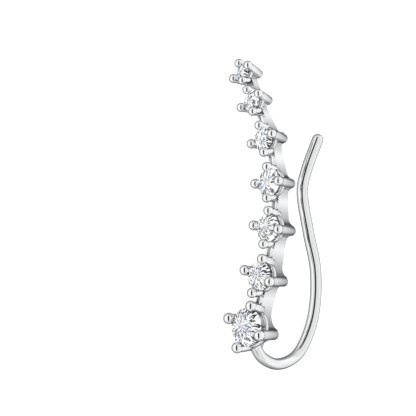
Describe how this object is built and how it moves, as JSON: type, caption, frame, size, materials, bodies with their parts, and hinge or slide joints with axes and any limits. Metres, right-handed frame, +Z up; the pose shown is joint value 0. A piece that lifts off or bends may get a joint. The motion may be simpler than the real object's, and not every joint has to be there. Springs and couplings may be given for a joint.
{
  "type": "ear climber",
  "caption": "Ear climber: a curved row of claw-set round stones graded in size on a slim bar, with an open ear wire curling up behind.",
  "frame": {"origin": "middle of the base of the bounding box, on the surface the climber lies on", "axes": "+Z up from that surface, +Y along the row from the largest stone to the smallest, +X from the row towards the ear wire"},
  "size_m": [0.01, 0.0272, 0.0067],
  "materials": {
    "silver": "polished rhodium-plated silver",
    "stone": "faceted clear cubic zirconia"
  },
  "bodies": {
    "root": {"climber_frame": "silver", "stone_1": "stone", "stone_2": "stone", "stone_3": "stone", "stone_4": "stone", "stone_5": "stone", "stone_6": "stone", "stone_7": "stone"}
  },
  "joints": []
}
